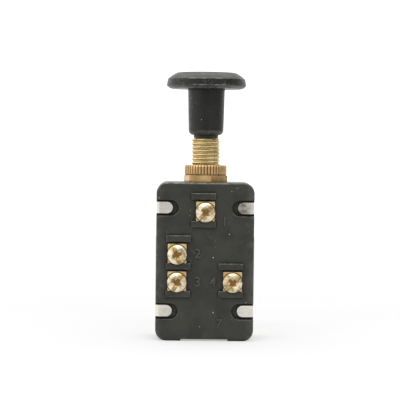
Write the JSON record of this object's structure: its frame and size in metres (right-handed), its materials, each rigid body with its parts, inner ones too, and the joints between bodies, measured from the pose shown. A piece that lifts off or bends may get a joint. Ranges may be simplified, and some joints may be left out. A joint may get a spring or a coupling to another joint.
{
  "type": "push-pull headlight switch",
  "caption": "Push-pull lighting switch with a mushroom knob on a threaded brass neck, panel nuts and a black moulded terminal box with screw clamps and folded steel tabs.",
  "frame": {"origin": "on the pull rod's axis, in the plane of the housing's two feet", "axes": "+Z along the rod, the way the knob is pulled; -Y out of the terminal face; +X to the right of it"},
  "size_m": [0.0322, 0.0264, 0.0885],
  "materials": {
    "black_moulding": "moulded thermoset, satin, fine grain and scuffs",
    "knob_moulding": "moulded plastic, satin, worn bevel",
    "sheet_steel": "bright zinc plated sheet with scuffs",
    "thread_brass": "turned yellow brass",
    "nut_brass": "turned bronze brown brass",
    "terminal_brass": "stamped brass, bright",
    "screw_plating": "yellow zinc plated steel",
    "rod_steel": "ground steel",
    "spring_steel": "drawn spring wire",
    "slider_moulding": "natural nylon"
  },
  "bodies": {
    "switch_body": {"housing": "black_moulding", "back_cover": "sheet_steel", "bushing": "thread_brass", "hex_nut": "nut_brass", "ring_nut": "nut_brass", "battery_strip": "terminal_brass", "terminal_insert_1": "terminal_brass", "clamp_plate_1": "terminal_brass", "terminal_screw_1": "screw_plating", "terminal_insert_2": "terminal_brass", "clamp_plate_2": "terminal_brass", "terminal_screw_2": "screw_plating", "terminal_insert_3": "terminal_brass", "clamp_plate_3": "terminal_brass", "terminal_screw_3": "screw_plating", "terminal_insert_4": "terminal_brass", "clamp_plate_4": "terminal_brass", "terminal_screw_4": "screw_plating"},
    "pull_knob": {"knob": "knob_moulding", "pull_rod": "rod_steel", "slider": "slider_moulding", "bridge_contact": "terminal_brass", "contact_spring_left": "spring_steel", "contact_spring_right": "spring_steel", "detent_spring": "spring_steel", "detent_ball": "rod_steel"}
  },
  "joints": [
    {"name": "pull", "type": "slide", "parent": "switch_body", "child": "pull_knob", "axis": [0, 0, 1], "range_m": [0, 0.013]}
  ]
}
